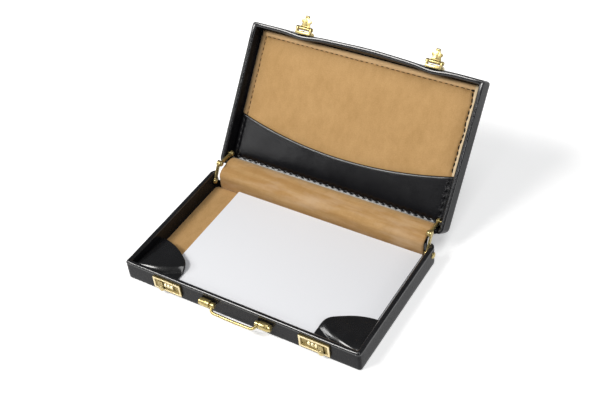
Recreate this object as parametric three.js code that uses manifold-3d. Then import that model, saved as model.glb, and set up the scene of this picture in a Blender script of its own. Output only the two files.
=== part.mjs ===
// A miniature attache case that holds business cards: a leatherette base tray and lid with sewn
// linings, a flexible hinge, two folding stays, two flip latches, two number locks and a wire
// handle. Millimetres, +Z up, +Y to the hinge side, origin under the middle of the base.
// Everything on the lid is drawn in its shut place, and the lid group then opens about the hinge.

import * as THREE from "three";
import { mergeVertices } from "three/addons/utils/BufferGeometryUtils.js";
import Module from "manifold-3d";

const wasm = await Module();
wasm.setup();

// ---------------------------------------------------------------- driving dimensions

const WIDTH = 104;            // outside, along X
const DEPTH = 61;             // outside, along Y
const BASE_HEIGHT = 8.8;
const LID_HEIGHT = 7.4;
const SEAM = 0.2;             // gap between the two rims when shut
const WALL = 2;
const FLOOR = 1.2;            // bottom and top boards
const REAR_DROP = 1.2;        // the rear walls stop this far below the rims
const FRONT_RADIUS = 1.2;     // corner radii in plan
const REAR_RADIUS = 2.6;
const EDGE_RADIUS = 0.5;      // rounded outer edges of the shells
const CLEARANCE = 0.3;        // between a soft piece and its neighbour
const SEAT_GAP = 0.2;         // between a metal fitting and the wall that it sits on
const LAY_GAP = 0.1;          // between two pieces that lie on each other
const OVERCUT = 1;            // how far a cutting tool runs past what it cuts
const CAVITY_RADIUS = 0.8;    // inside corners of the shells, in plan

const HINGE_Y = DEPTH / 2 + 2.2;
const HINGE_Z = BASE_HEIGHT - 1;
const OPEN_ANGLE = THREE.MathUtils.degToRad(128);

const FRONT = -DEPTH / 2;     // outside face of the front walls
const REAR = DEPTH / 2;
const LID_RIM = BASE_HEIGHT + SEAM;
const LID_TOP = LID_RIM + LID_HEIGHT;
const INNER_WIDTH = WIDTH - 2 * WALL;
const INNER_DEPTH = DEPTH - 2 * WALL;

const LINING = 0.6;           // thickness of the velvet linings
const LINING_RADIUS = 1;      // their corners, in plan
const STRIP_WIDTH = 94.4;     // hinge strip, clear of the stays
const STRIP_REACH = 0.7;      // how far the strip runs past the rear face
const SPINE_THICKNESS = 0.6;  // outer leatherette of the hinge

const CARD_WIDTH = 85;
const CARD_DEPTH = 55;
const CARD_TOP = 4;           // top of the stack above the table
const CARD_SIDE_GAP = 2.2;    // stack to right wall
const CARD_FRONT_GAP = 0.6;

const FLAP_ALONG_FRONT = 19.4;
const FLAP_ALONG_SIDE = 18.4;
const FLAP_THICKNESS = 0.8;

const PANEL_DEPTH_IN_LID = 5.5;   // lid rim to the face of the sewn panel
const PANEL_REAR_MARGIN = 2.9;    // panel edge to the lid's rear face
const PANEL_SIDE_GAP = 0.4;
const POCKET_WIDTH = 96.8;
const POCKET_SIDE_HEIGHT = 20;
const POCKET_MIDDLE_HEIGHT = 13.5;
const POCKET_THICKNESS = 0.7;

const LATCH_X = { left: -28.3, right: 30.2 };   // set by hand, so not quite a mirrored pair
const LATCH_WIDTH = 6.8;
const LATCH_PLATE = 0.5;
const LATCH_PLATE_SPAN = { low: 0.4, high: 4.8 };   // above the lid rim
const LATCH_AXIS_OUT = 2.2;       // pin axis in front of the wall
const LATCH_AXIS_UP = 1.5;        // pin axis above the lid rim
const LUG_WIDTH = 0.7;
const LUG_RADIUS = 0.8;
const HASP_WIDTH = 4.8;
const HASP_LENGTH = 4.8;
const HASP_THICKNESS = 0.55;
const HASP_SPINE = { halfWidth: 0.55, start: 0.4, end: 4.2, rise: 0.35 };
const HASP_TIP = { halfWidth: 0.9, radius: 0.5, up: 0.45 };
const LATCH_PIN_RADIUS = 0.38;
const LATCH_PIN_HEAD = { height: 0.35, radius: 0.75, topRadius: 0.6 };
const LATCH_BORE_RADIUS = 0.52;

const LOCK_SHIFT = 3.4;           // lock centre outboard of its latch
const LOCK_Z = 4.85;
const LOCK_WIDTH = 12.8;
const LOCK_HEIGHT = 5.7;
const LOCK_PLATE = 0.45;
const LOCK_FRAME = 0.35;          // raised rim of the plate
const LOCK_FRAME_WIDTH = 0.8;
const CATCH_INSET = 2.05;         // catch slot centre from the plate's inboard end
const CATCH_SLOT = { halfWidth: 1.1, halfHeight: 1.4 };
const FIRST_WHEEL_INSET = 4.25;
const WHEEL_PITCH = 1.5;
const WHEEL_WIDTH = 1.25;
const WHEEL_RADIUS = 1.05;
const WHEEL_BORE = 0.5;
const WHEEL_CHAMFER = 0.18;
const WHEEL_COUNT = 3;
const WHEEL_AXIS_IN = 0.05;       // wheel axis behind the wall's face
const WHEEL_WINDOW = { width: 4.9, height: 2.5 };
const WHEEL_RECESS = 1.25;        // depth of the hollow for the wheels in the base's front wall
const AXLE_RADIUS = 0.35;
const AXLE_HALF_LENGTH = 2.85;
const AXLE_GAP = 0.1;             // round the axle and past its ends
const BUTTON_INSET = 9.3;
const BUTTON_WIDTH = 2.2;
const BUTTON_KNOB_RADIUS = 1.35;
const BUTTON_KNOB_HEIGHT = 0.7;
const BUTTON_KNOB_TAPER = 0.15;
const BUTTON_KNOB_SINK = 0.05;    // how far the knob is let into the block
const BUTTON_KNOB_DROP = 2.1;     // knob axis below the lock's middle
const BUTTON_PROUD = 0.25;        // block in front of the plate's rim
const BUTTON_SPAN = { low: -2, high: 1.7 };

const HANDLE_AXIS = { y: FRONT - 1.3, z: 5.3 };
const MOUNT_START = 11;         // inner end of a handle mount, from the middle
const MOUNT_LENGTH = 4.9;
const MOUNT_RADIUS = 1.6;
const MOUNT_CAP_RADIUS = 1.35;
const MOUNT_CAP_LENGTH = 0.9;
const TRUNNION_LENGTH = 2.6;      // the bail's end inside a mount
const TRUNNION_BORE = { radius: 0.85, depth: 3 };
const BAIL_HALF_WIDTH = 9.9;
const BAIL_LEG = 2.7;
const BAIL_CORNER = 2;
const BAIL_WIRE_RADIUS = 0.6;
const BAIL_LEAN = THREE.MathUtils.degToRad(65);   // outwards from hanging straight down
const FERRULE_RADIUS = 1.15;
const FERRULE_LENGTH = 1.6;

const STAY_BASE_PIVOT = { y: REAR - 3.1, z: 5.2 };
const STAY_LID_PIVOT = { y: REAR - 4.7, z: LID_RIM + 2.6 };   // with the lid shut
const STAY_ELBOW = { y: REAR + 1.2, z: 11.7 };                // with the lid open
const LINK_THICKNESS = 0.75;
const LINK_EYE_RADIUS = 1.3;
const LINK_WAIST = 1.9;
const LINK_BORE = 0.7;
const LOWER_LINK_X = 49;          // inboard face of each link
const UPPER_LINK_X = 48.1;
const RIVET_RADIUS = 0.5;
const RIVET_HEAD_RADIUS = 1.35;
const RIVET_HEAD_HEIGHT = 0.7;
const RIVET_HOLE_RADIUS = 0.85;
const RIVET_SHOULDER = { rise: 0.6, radius: 0.8 };   // of a domed head, as shares of its size
const RIVET_FOOT = { height: 0.5, radius: 1 };
const LID_RIVET_DEPTH = 1.2;      // the lid's rivets end blind inside its walls
const ELBOW_HEAD_RADIUS = 1.15;

// ---------------------------------------------------------------- materials

function finish(color, roughness, metalness) {
  return new THREE.MeshStandardMaterial({ color, roughness, metalness });
}

const leatherette = finish(0x1b1b1e, 0.38, 0);
const pocketLeather = finish(0x18181a, 0.3, 0);
const velvet = finish(0xc2a069, 0.95, 0);
const brass = finish(0xd8b463, 0.25, 1);
const cardPaper = finish(0xf2f3f5, 0.6, 0);

// ---------------------------------------------------------------- solids

function toSolid(geometry) {
  const bare = geometry.clone();
  bare.deleteAttribute("normal");
  bare.deleteAttribute("uv");
  const merged = mergeVertices(bare, 1e-4);
  const mesh = new wasm.Mesh({
    numProp: 3,
    vertProperties: merged.attributes.position.array,
    triVerts: Uint32Array.from(merged.index.array),
  });
  return new wasm.Manifold(mesh);
}

function toGeometry(solid) {
  const mesh = solid.getMesh();
  const geometry = new THREE.BufferGeometry();
  geometry.setAttribute("position", new THREE.BufferAttribute(mesh.vertProperties, 3));
  geometry.setIndex(new THREE.BufferAttribute(mesh.triVerts, 1));
  geometry.computeVertexNormals();
  return geometry;
}

function join(...geometries) {
  return toGeometry(geometries.map(toSolid).reduce((sum, next) => sum.add(next)));
}

function cut(geometry, ...tools) {
  return toGeometry(tools.map(toSolid).reduce((left, tool) => left.subtract(tool), toSolid(geometry)));
}

// A box from its two opposite corners.
function box([x0, y0, z0], [x1, y1, z1]) {
  const geometry = new THREE.BoxGeometry(x1 - x0, y1 - y0, z1 - z0);
  return geometry.translate((x0 + x1) / 2, (y0 + y1) / 2, (z0 + z1) / 2);
}

// A round bar along X, from x0 to x1.
function rodX(x0, x1, y, z, radius, sides = 20) {
  const geometry = new THREE.CylinderGeometry(radius, radius, x1 - x0, sides);
  return geometry.rotateZ(Math.PI / 2).translate((x0 + x1) / 2, y, z);
}

// A solid turned about the X axis: profile points are [along X, radius].
function turnedX(profile, y, z, sides = 20) {
  const points = profile.map(([along, radius]) => new THREE.Vector2(radius, along));
  const geometry = new THREE.LatheGeometry(points, sides);
  return geometry.rotateZ(-Math.PI / 2).translate(0, y, z);
}

// A rectangle in plan with its own radius at the front and rear corners.
function plan(x0, x1, y0, y1, frontRadius, rearRadius) {
  const shape = new THREE.Shape();
  shape.moveTo(x0 + frontRadius, y0);
  shape.lineTo(x1 - frontRadius, y0);
  shape.absarc(x1 - frontRadius, y0 + frontRadius, frontRadius, -Math.PI / 2, 0, false);
  shape.lineTo(x1, y1 - rearRadius);
  shape.absarc(x1 - rearRadius, y1 - rearRadius, rearRadius, 0, Math.PI / 2, false);
  shape.lineTo(x0 + rearRadius, y1);
  shape.absarc(x0 + rearRadius, y1 - rearRadius, rearRadius, Math.PI / 2, Math.PI, false);
  shape.lineTo(x0, y0 + frontRadius);
  shape.absarc(x0 + frontRadius, y0 + frontRadius, frontRadius, Math.PI, Math.PI * 1.5, false);
  return shape;
}

// A plan shape raised from z0 to z1, its outer edges rounded by a bevel.
function slab(shape, z0, z1, bevel = 0, curveSegments = 5) {
  const geometry = new THREE.ExtrudeGeometry(shape, {
    depth: z1 - z0 - 2 * bevel,
    curveSegments,
    bevelEnabled: bevel > 0,
    bevelThickness: bevel,
    bevelSize: bevel,
    bevelOffset: -bevel,
    bevelSegments: 2,
  });
  return geometry.translate(0, 0, z0 + bevel);
}

// A profile in the YZ plane drawn out along X, from x0 to x1.
function extrudeX(shape, x0, x1, curveSegments = 6) {
  const geometry = new THREE.ExtrudeGeometry(shape, {
    depth: x1 - x0,
    curveSegments,
    bevelEnabled: false,
  });
  const turn = new THREE.Matrix4().makeBasis(
    new THREE.Vector3(0, 1, 0),
    new THREE.Vector3(0, 0, 1),
    new THREE.Vector3(1, 0, 0),
  );
  return geometry.applyMatrix4(turn).translate(x0, 0, 0);
}

function polygon(points) {
  return new THREE.Shape(points.map(([x, y]) => new THREE.Vector2(x, y)));
}

function part(group, name, geometry, material) {
  const mesh = new THREE.Mesh(geometry, material);
  mesh.name = name;
  group.add(mesh);
  return mesh;
}

// Mirrors an X interval onto the side that sign names.
function span(sign, a, b) {
  return sign > 0 ? [a, b] : [-b, -a];
}

const SIDES = [["left", -1], ["right", 1]];

// ---------------------------------------------------------------- shells and linings

function outerBlock(z0, z1) {
  const outline = plan(-WIDTH / 2, WIDTH / 2, FRONT, REAR, FRONT_RADIUS, REAR_RADIUS);
  return slab(outline, z0, z1, EDGE_RADIUS);
}

function cavity(z0, z1) {
  const half = INNER_WIDTH / 2;
  return slab(plan(-half, half, FRONT + WALL, REAR - WALL, CAVITY_RADIUS, CAVITY_RADIUS), z0, z1);
}

function rearNotch(z0, z1) {
  return box([-INNER_WIDTH / 2, REAR - WALL - OVERCUT, z0], [INNER_WIDTH / 2, REAR + OVERCUT, z1]);
}

// Holes for a stay's rivets in both side walls, drilled from inside to a given depth.
function rivetHoles({ y, z }, depth) {
  const inner = INNER_WIDTH / 2;
  return SIDES.map(([, sign]) => {
    const [start, end] = span(sign, inner - OVERCUT, inner + depth);
    return rodX(start, end, y, z, RIVET_HOLE_RADIUS, 16);
  });
}

function lockCentre(side) {
  const sign = Math.sign(LATCH_X[side]);
  return LATCH_X[side] + sign * LOCK_SHIFT;
}

// The X place that lies a given distance from the lock plate's inboard end.
function alongLock(side, inset) {
  const sign = Math.sign(LATCH_X[side]);
  return lockCentre(side) + sign * (inset - LOCK_WIDTH / 2);
}

function wheelOpening(side, width, y0, y1) {
  const middle = alongLock(side, FIRST_WHEEL_INSET + WHEEL_PITCH);
  const rise = WHEEL_WINDOW.height / 2;
  return box([middle - width / 2, y0, LOCK_Z - rise], [middle + width / 2, y1, LOCK_Z + rise]);
}

// The hollow in the base's front wall that takes a lock's wheels and the ends of their axle.
function wheelRecess(side) {
  const width = 2 * (AXLE_HALF_LENGTH + AXLE_GAP);
  return wheelOpening(side, width, FRONT - OVERCUT, FRONT + WHEEL_RECESS);
}

// The slots in the rear wall, beside each side wall, that the lower stay links swing through.
function staySlots() {
  const inner = STRIP_WIDTH / 2 + CLEARANCE;
  return SIDES.map(([, sign]) => {
    const [x0, x1] = span(sign, inner, INNER_WIDTH / 2);
    const bottom = STAY_BASE_PIVOT.z - LINK_EYE_RADIUS - CLEARANCE;
    return box([x0, REAR - WALL - OVERCUT, bottom], [x1, REAR + OVERCUT, BASE_HEIGHT + OVERCUT]);
  });
}

function baseShell() {
  return cut(
    outerBlock(0, BASE_HEIGHT),
    cavity(FLOOR, BASE_HEIGHT + OVERCUT),
    rearNotch(BASE_HEIGHT - REAR_DROP, BASE_HEIGHT + OVERCUT),
    ...rivetHoles(STAY_BASE_PIVOT, WALL + OVERCUT),
    ...staySlots(),
    ...SIDES.map(([side]) => wheelRecess(side)),
  );
}

function lidShell() {
  return cut(
    outerBlock(LID_RIM, LID_TOP),
    cavity(LID_RIM - OVERCUT, LID_TOP - FLOOR),
    rearNotch(LID_RIM - OVERCUT, LID_RIM + REAR_DROP),
    ...rivetHoles(STAY_LID_PIVOT, LID_RIVET_DEPTH + LAY_GAP),
  );
}

function floorLining() {
  const half = INNER_WIDTH / 2 - CLEARANCE;
  const y0 = FRONT + WALL + CLEARANCE;
  const y1 = REAR - WALL - CLEARANCE;
  const outline = plan(-half, half, y0, y1, LINING_RADIUS, LINING_RADIUS);
  return slab(outline, FLOOR + LAY_GAP, FLOOR + LAY_GAP + LINING);
}

// One half of the velvet hinge strip: up the inside of a rear wall and out over its top. The base
// half is drawn, and the lid half is the same profile turned over about the seam.
function hingeStrip(foot, wallTop, up) {
  const inner = REAR - WALL - CLEARANCE;
  const tip = REAR + STRIP_REACH;
  const low = wallTop + up * CLEARANCE;
  const high = low + up * LINING;
  const profile = polygon([
    [inner - LINING, foot],
    [inner, foot],
    [inner, low],
    [tip, low],
    [tip, high],
    [inner - LINING, high],
  ]);
  return extrudeX(profile, -STRIP_WIDTH / 2, STRIP_WIDTH / 2);
}

// The leatherette spine outside the base's rear wall, which carries on over the gap to the lid.
function hingeSpine() {
  const wallFace = REAR + CLEARANCE;
  const half = STRIP_WIDTH / 2;
  const wallTop = BASE_HEIGHT - REAR_DROP;
  return box([-half, wallFace, FLOOR], [half, wallFace + SPINE_THICKNESS, wallTop]);
}

function cornerFlap(sign) {
  const cornerX = INNER_WIDTH / 2 - CLEARANCE;
  const cornerY = FRONT + WALL + CLEARANCE;
  const at = (x, y) => [sign * (cornerX - x), cornerY + y];
  const shape = new THREE.Shape();
  shape.moveTo(...at(0, 0));
  shape.lineTo(...at(FLAP_ALONG_FRONT, 0));
  shape.lineTo(...at(FLAP_ALONG_FRONT, 4.5));
  shape.bezierCurveTo(...at(FLAP_ALONG_FRONT, 9.5), ...at(17.4, 11), ...at(13.6, 13.4));
  shape.quadraticCurveTo(...at(7, 17.6), ...at(0, FLAP_ALONG_SIDE));
  const z0 = CARD_TOP + CLEARANCE;
  return slab(shape, z0, z0 + FLAP_THICKNESS, 0, 8);
}

function cardStack() {
  const right = INNER_WIDTH / 2 - CARD_SIDE_GAP;
  const front = FRONT + WALL + CARD_FRONT_GAP;
  const bottom = FLOOR + LINING + 2 * LAY_GAP;
  return box([right - CARD_WIDTH, front, bottom], [right, front + CARD_DEPTH, CARD_TOP]);
}

function lidLining() {
  const half = INNER_WIDTH / 2 - PANEL_SIDE_GAP;
  const face = LID_RIM + PANEL_DEPTH_IN_LID;
  const y0 = FRONT + WALL + PANEL_SIDE_GAP;
  const outline = plan(-half, half, y0, REAR - PANEL_REAR_MARGIN, LINING_RADIUS, LINING_RADIUS);
  return slab(outline, face, face + LINING);
}

// The pocket's free edge is one arc that dips in the middle.
function lidPocket() {
  const half = POCKET_WIDTH / 2;
  const foot = REAR - PANEL_REAR_MARGIN;
  const dip = POCKET_SIDE_HEIGHT - POCKET_MIDDLE_HEIGHT;
  const radius = (half * half + dip * dip) / (2 * dip);
  const reach = Math.asin(half / radius);
  const centreY = foot - POCKET_MIDDLE_HEIGHT - radius;
  const shape = new THREE.Shape();
  shape.moveTo(half, foot);
  shape.lineTo(-half, foot);
  shape.lineTo(-half, foot - POCKET_SIDE_HEIGHT);
  shape.absarc(0, centreY, radius, Math.PI / 2 + reach, Math.PI / 2 - reach, true);
  const top = LID_RIM + PANEL_DEPTH_IN_LID - CLEARANCE;
  return slab(shape, top - POCKET_THICKNESS, top, 0, 14);
}

// ---------------------------------------------------------------- latches, on the lid

const LATCH_AXIS = { y: FRONT - LATCH_AXIS_OUT, z: LID_RIM + LATCH_AXIS_UP };

function latchBracket(x) {
  const face = FRONT - SEAT_GAP;
  const half = LATCH_WIDTH / 2;
  const { low, high } = LATCH_PLATE_SPAN;
  const plate = box([x - half, face - LATCH_PLATE, LID_RIM + low], [x + half, face, LID_RIM + high]);
  const lugs = [-half, half - LUG_WIDTH].map((start) => {
    const x0 = x + start;
    const x1 = x0 + LUG_WIDTH;
    const arm = box(
      [x0, LATCH_AXIS.y, LATCH_AXIS.z - LUG_RADIUS],
      [x1, face - LATCH_PLATE / 2, LATCH_AXIS.z + LUG_RADIUS],
    );
    return join(arm, rodX(x0, x1, LATCH_AXIS.y, LATCH_AXIS.z, LUG_RADIUS));
  });
  const boreHalf = half + OVERCUT;
  const bore = rodX(x - boreHalf, x + boreHalf, LATCH_AXIS.y, LATCH_AXIS.z, LATCH_BORE_RADIUS);
  return cut(join(plate, ...lugs), bore);
}

function latchPin(x) {
  const half = LATCH_WIDTH / 2;
  const { y, z } = LATCH_AXIS;
  const { height, radius, topRadius } = LATCH_PIN_HEAD;
  const start = x - half - LAY_GAP - height;
  const end = x + half + LAY_GAP + height;
  return turnedX([
    [start, 0], [start, topRadius], [start + height, radius], [start + height, LATCH_PIN_RADIUS],
    [end - height, LATCH_PIN_RADIUS], [end - height, radius], [end, topRadius], [end, 0],
  ], y, z);
}

// The tongue stands straight out from the wall: a tapering blade with two ears, a raised spine
// and a small rolled tip.
function latchHasp(x) {
  const { y, z } = LATCH_AXIS;
  const barrel = rodX(x - HASP_WIDTH / 2, x + HASP_WIDTH / 2, y, z, LUG_RADIUS);
  const blade = polygon([
    [-HASP_WIDTH / 2, 0], [-1.7, -2.1], [-2.3, -2.6], [-2.2, -3.5], [-1.3, -3.7], [-0.7, -HASP_LENGTH],
    [0.7, -HASP_LENGTH], [1.3, -3.7], [2.2, -3.5], [2.3, -2.6], [1.7, -2.1], [HASP_WIDTH / 2, 0],
  ]);
  const bladeBottom = z + LUG_RADIUS - HASP_THICKNESS;
  const plate = slab(blade, bladeBottom, bladeBottom + HASP_THICKNESS).translate(x, y, 0);
  const { halfWidth, start, end, rise } = HASP_SPINE;
  const spine = box([x - halfWidth, y - end, z], [x + halfWidth, y - start, z + LUG_RADIUS + rise]);
  const { halfWidth: tipHalf, radius, up } = HASP_TIP;
  const tip = rodX(x - tipHalf, x + tipHalf, y - HASP_LENGTH, z + up, radius, 12);
  const bore = rodX(x - HASP_WIDTH, x + HASP_WIDTH, y, z, LATCH_BORE_RADIUS);
  return cut(join(barrel, plate, spine, tip), bore);
}

// ---------------------------------------------------------------- number locks, on the base

const WHEEL_AXIS = { y: FRONT + WHEEL_AXIS_IN, z: LOCK_Z };

function lockPlate(side) {
  const middle = lockCentre(side);
  const back = FRONT - LAY_GAP;
  const face = back - LOCK_PLATE;
  const front = face - LOCK_FRAME;
  const halfWidth = LOCK_WIDTH / 2;
  const halfHeight = LOCK_HEIGHT / 2;
  const block = box([middle - halfWidth, front, LOCK_Z - halfHeight],
    [middle + halfWidth, back, LOCK_Z + halfHeight]);
  const openWidth = halfWidth - LOCK_FRAME_WIDTH;
  const openHeight = halfHeight - LOCK_FRAME_WIDTH;
  const recess = box([middle - openWidth, front - OVERCUT, LOCK_Z - openHeight],
    [middle + openWidth, face, LOCK_Z + openHeight]);
  const catchX = alongLock(side, CATCH_INSET);
  const { halfWidth: slotHalf, halfHeight: slotRise } = CATCH_SLOT;
  const catchSlot = box([catchX - slotHalf, front - OVERCUT, LOCK_Z - slotRise],
    [catchX + slotHalf, back + OVERCUT, LOCK_Z + slotRise]);
  const window = wheelOpening(side, WHEEL_WINDOW.width, front - OVERCUT, back + OVERCUT);
  return cut(block, recess, catchSlot, window, axleRod(side, AXLE_GAP));
}

// The axle of a lock's wheels, or with a gap, the groove for it in the back of the plate.
function axleRod(side, gap = 0) {
  const middle = alongLock(side, FIRST_WHEEL_INSET + WHEEL_PITCH);
  const half = AXLE_HALF_LENGTH + gap;
  return rodX(middle - half, middle + half, WHEEL_AXIS.y, WHEEL_AXIS.z, AXLE_RADIUS + gap, 12);
}

function numberWheel(side, index) {
  const middle = alongLock(side, FIRST_WHEEL_INSET + index * WHEEL_PITCH);
  const half = WHEEL_WIDTH / 2;
  return turnedX([
    [middle - half, WHEEL_BORE],
    [middle - half, WHEEL_RADIUS - WHEEL_CHAMFER],
    [middle - half + WHEEL_CHAMFER, WHEEL_RADIUS],
    [middle + half - WHEEL_CHAMFER, WHEEL_RADIUS],
    [middle + half, WHEEL_RADIUS - WHEEL_CHAMFER],
    [middle + half, WHEEL_BORE],
    [middle - half, WHEEL_BORE],
  ], WHEEL_AXIS.y, WHEEL_AXIS.z);
}

// A block that slides in the plate's recess, with a round thumb knob over the lower rim.
function lockButton(side) {
  const middle = alongLock(side, BUTTON_INSET);
  const plateFace = FRONT - LAY_GAP - LOCK_PLATE;
  const blockFront = plateFace - LOCK_FRAME - BUTTON_PROUD;
  const halfWidth = BUTTON_WIDTH / 2;
  const block = box(
    [middle - halfWidth, blockFront, LOCK_Z + BUTTON_SPAN.low],
    [middle + halfWidth, plateFace - LAY_GAP, LOCK_Z + BUTTON_SPAN.high],
  );
  const backRadius = BUTTON_KNOB_RADIUS;
  const frontRadius = BUTTON_KNOB_RADIUS - BUTTON_KNOB_TAPER;
  const knob = new THREE.CylinderGeometry(backRadius, frontRadius, BUTTON_KNOB_HEIGHT, 20);
  const knobY = blockFront + BUTTON_KNOB_SINK - BUTTON_KNOB_HEIGHT / 2;
  knob.translate(middle, knobY, LOCK_Z - BUTTON_KNOB_DROP);
  return join(block, knob);
}

// ---------------------------------------------------------------- handle

// A barrel with a stepped cap, its back cut flat to sit on the wall.
function handleMount(sign) {
  const { y, z } = HANDLE_AXIS;
  const back = FRONT - SEAT_GAP;
  const bodyEnd = MOUNT_START + MOUNT_LENGTH - MOUNT_CAP_LENGTH;
  const mountEnd = MOUNT_START + MOUNT_LENGTH;
  const body = rodX(...span(sign, MOUNT_START, bodyEnd), y, z, MOUNT_RADIUS, 24);
  const cap = rodX(...span(sign, bodyEnd - CLEARANCE, mountEnd), y, z, MOUNT_CAP_RADIUS, 24);
  const { radius, depth } = TRUNNION_BORE;
  const bore = rodX(...span(sign, MOUNT_START - OVERCUT, MOUNT_START + depth), y, z, radius);
  const clearOfWall = box([-WIDTH / 2, back, 0], [WIDTH / 2, back + MOUNT_RADIUS, BASE_HEIGHT]);
  return cut(join(body, cap), bore, clearOfWall);
}

function handleBail() {
  const drop = new THREE.Vector3(0, -Math.sin(BAIL_LEAN), -Math.cos(BAIL_LEAN));
  const at = (x, along) => new THREE.Vector3(x, HANDLE_AXIS.y, HANDLE_AXIS.z).addScaledVector(drop, along);
  const half = BAIL_HALF_WIDTH;
  const wire = new THREE.CurvePath();
  wire.add(new THREE.LineCurve3(at(-half, 0), at(-half, BAIL_LEG - BAIL_CORNER)));
  wire.add(new THREE.QuadraticBezierCurve3(
    at(-half, BAIL_LEG - BAIL_CORNER), at(-half, BAIL_LEG), at(-half + BAIL_CORNER, BAIL_LEG)));
  wire.add(new THREE.LineCurve3(at(-half + BAIL_CORNER, BAIL_LEG), at(half - BAIL_CORNER, BAIL_LEG)));
  wire.add(new THREE.QuadraticBezierCurve3(
    at(half - BAIL_CORNER, BAIL_LEG), at(half, BAIL_LEG), at(half, BAIL_LEG - BAIL_CORNER)));
  wire.add(new THREE.LineCurve3(at(half, BAIL_LEG - BAIL_CORNER), at(half, 0)));
  const section = new THREE.Shape();
  section.absarc(0, 0, BAIL_WIRE_RADIUS, 0, Math.PI * 2, false);
  const wireSolid = new THREE.ExtrudeGeometry(section, {
    steps: 44,
    curveSegments: 5,
    extrudePath: wire,
  });
  const { y, z } = HANDLE_AXIS;
  const ends = [-1, 1].flatMap((sign) => {
    const ferrule = span(sign, half - FERRULE_LENGTH / 2, half + FERRULE_LENGTH / 2);
    const trunnion = span(sign, half, MOUNT_START + TRUNNION_LENGTH);
    return [rodX(...ferrule, y, z, FERRULE_RADIUS), rodX(...trunnion, y, z, BAIL_WIRE_RADIUS)];
  });
  return join(wireSolid, ...ends);
}

// ---------------------------------------------------------------- folding stays

// A flat link in the YZ plane with a round eye at each end.
function stayLink(from, to, x0, sign) {
  const length = Math.hypot(to.y - from.y, to.z - from.z);
  const eyeAngle = Math.asin(LINK_WAIST / 2 / LINK_EYE_RADIUS);
  const shape = new THREE.Shape();
  shape.absarc(0, 0, LINK_EYE_RADIUS, eyeAngle, Math.PI * 2 - eyeAngle, false);
  shape.absarc(length, 0, LINK_EYE_RADIUS, Math.PI + eyeAngle, Math.PI * 3 - eyeAngle, false);
  for (const along of [0, length]) {
    const eye = new THREE.Path();
    eye.absarc(along, 0, LINK_BORE, 0, Math.PI * 2, true);
    shape.holes.push(eye);
  }
  const [start, end] = span(sign, x0, x0 + LINK_THICKNESS);
  const geometry = extrudeX(shape, start, end, 8);
  geometry.rotateX(Math.atan2(to.z - from.z, to.y - from.y));
  return geometry.translate(0, from.y, from.z);
}

// The head of a stay's rivet on the inside of its link, and where its shaft starts.
function rivetFoot(linkFace) {
  const innerEnd = linkFace - LAY_GAP;
  const footEnd = innerEnd - RIVET_FOOT.height;
  return [
    [footEnd, 0],
    [footEnd, RIVET_FOOT.radius],
    [innerEnd, RIVET_FOOT.radius],
    [innerEnd, RIVET_RADIUS],
  ];
}

// The base's rivets pass right through the wall to a domed head outside.
function baseRivet({ y, z }, sign) {
  const wallFace = WIDTH / 2 + LAY_GAP;
  const { rise, radius } = RIVET_SHOULDER;
  const profile = [
    ...rivetFoot(LOWER_LINK_X),
    [wallFace, RIVET_RADIUS],
    [wallFace, RIVET_HEAD_RADIUS],
    [wallFace + RIVET_HEAD_HEIGHT * rise, RIVET_HEAD_RADIUS * radius],
    [wallFace + RIVET_HEAD_HEIGHT, 0],
  ];
  return placedRivet(profile, { y, z }, sign);
}

function lidRivet({ y, z }, sign) {
  const shaftEnd = INNER_WIDTH / 2 + LID_RIVET_DEPTH;
  const profile = [...rivetFoot(UPPER_LINK_X), [shaftEnd, RIVET_RADIUS], [shaftEnd, 0]];
  return placedRivet(profile, { y, z }, sign);
}

// A rivet's profile is drawn for the right side and turned round for the left.
function placedRivet(profile, { y, z }, sign) {
  const geometry = turnedX(profile, 0, 0);
  if (sign < 0) {
    geometry.rotateZ(Math.PI);
  }
  return geometry.translate(0, y, z);
}

// The elbow rivet stays with the upper link and stops just short of the lower one.
function elbowRivet({ y, z }, sign) {
  const outerEnd = LOWER_LINK_X - LAY_GAP;
  const headFace = UPPER_LINK_X - LAY_GAP;
  const { rise, radius } = RIVET_SHOULDER;
  const profile = [
    [headFace - RIVET_HEAD_HEIGHT, 0],
    [headFace - RIVET_HEAD_HEIGHT * rise, ELBOW_HEAD_RADIUS * radius],
    [headFace, ELBOW_HEAD_RADIUS],
    [headFace, RIVET_RADIUS],
    [outerEnd, RIVET_RADIUS],
    [outerEnd, 0],
  ];
  return placedRivet(profile, { y, z }, sign);
}

// Where a point of the open case would be with the lid shut, and the other way round.
function turnedWithLid({ y, z }, angle) {
  const dy = y - HINGE_Y;
  const dz = z - HINGE_Z;
  return {
    y: HINGE_Y + dy * Math.cos(angle) - dz * Math.sin(angle),
    z: HINGE_Z + dy * Math.sin(angle) + dz * Math.cos(angle),
  };
}

// ---------------------------------------------------------------- assembly

const base = new THREE.Group();
const lid = new THREE.Group();

part(base, "base_shell", baseShell(), leatherette);
part(base, "base_floor_lining", floorLining(), velvet);
part(base, "card_stack", cardStack(), cardPaper);
const baseWallTop = BASE_HEIGHT - REAR_DROP;
part(base, "hinge_strip_base", hingeStrip(FLOOR + LINING + CLEARANCE, baseWallTop, 1), velvet);
part(base, "hinge_spine", hingeSpine(), leatherette);
part(base, "handle_bail", handleBail(), brass);

part(lid, "lid_shell", lidShell(), leatherette);
part(lid, "lid_lining", lidLining(), velvet);
part(lid, "lid_pocket", lidPocket(), pocketLeather);
const panelFace = LID_RIM + PANEL_DEPTH_IN_LID;
part(lid, "hinge_strip_lid", hingeStrip(panelFace - CLEARANCE, LID_RIM + REAR_DROP, -1), velvet);

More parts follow.
